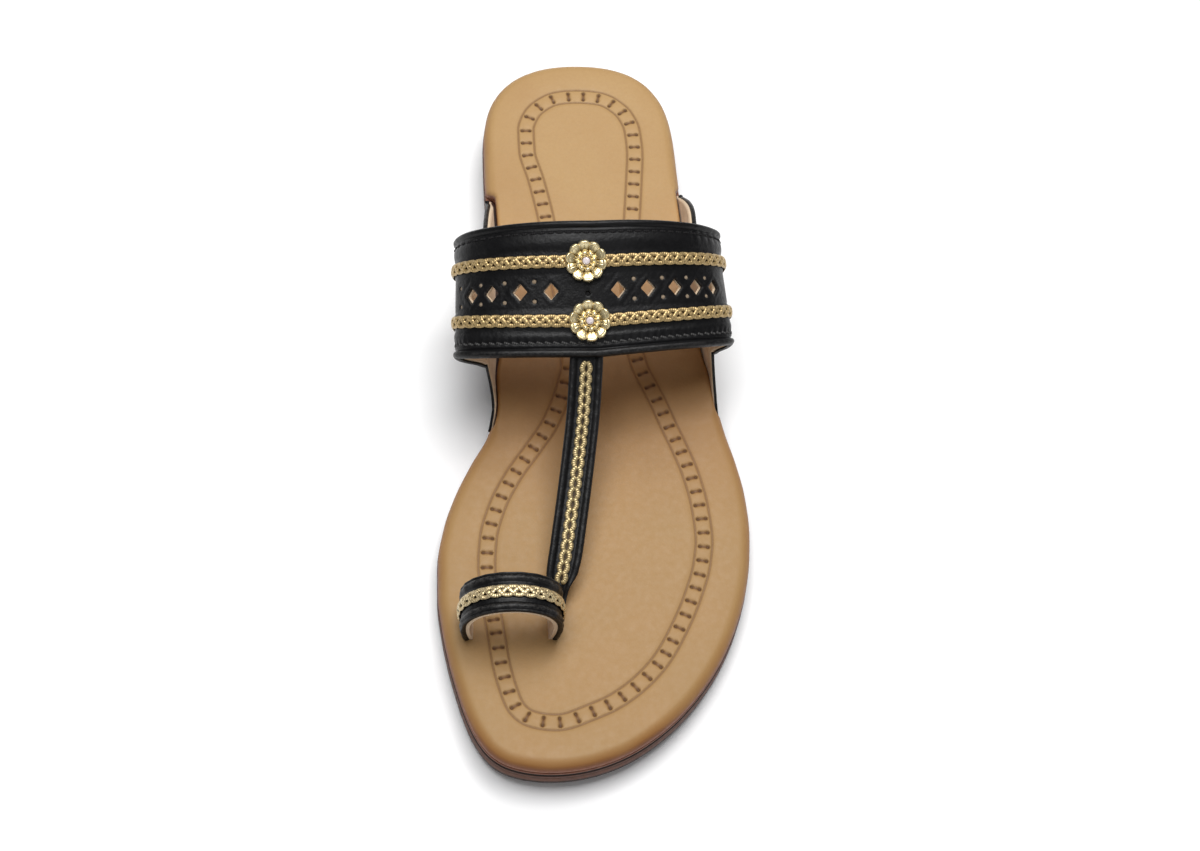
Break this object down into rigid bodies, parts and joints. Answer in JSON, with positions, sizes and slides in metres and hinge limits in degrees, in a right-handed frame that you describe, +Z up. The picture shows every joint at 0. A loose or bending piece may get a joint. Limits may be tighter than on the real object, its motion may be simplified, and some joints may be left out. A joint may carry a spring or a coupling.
{
  "type": "kolhapuri sandal",
  "caption": "Flat leather sandal with a wide instep band on side ears, a T-strap and a toe loop, trimmed with metal braid and rosettes, on a tan footbed.",
  "frame": {"origin": "on the floor, under the centre of the sole's box", "axes": "+Y to the heel, -Y to the toe, -X to the big-toe side, +Z up from the floor"},
  "size_m": [0.0962, 0.2524, 0.0658],
  "materials": {
    "outsole": "brown, matt, stained edge",
    "heel": "brown, stacked, stained edge",
    "midsole": "reddish brown, waxed edge",
    "footbed": "tan, smooth, burnished rim",
    "upper": "black, fine grain, satin",
    "lining": "cream, suede-like",
    "thread": "black waxed thread",
    "braid": "pale gold, twisted wire",
    "rosette": "pale gold, polished",
    "stone": "small clear stone"
  },
  "bodies": {
    "root": {"outsole": "outsole", "heel": "heel", "midsole": "midsole", "footbed": "footbed", "upper": "upper", "braid_rear": "braid", "braid_front": "braid", "braid_strap": "braid", "braid_loop": "braid", "rosette_rear": "rosette", "rosette_front": "rosette"}
  },
  "joints": []
}
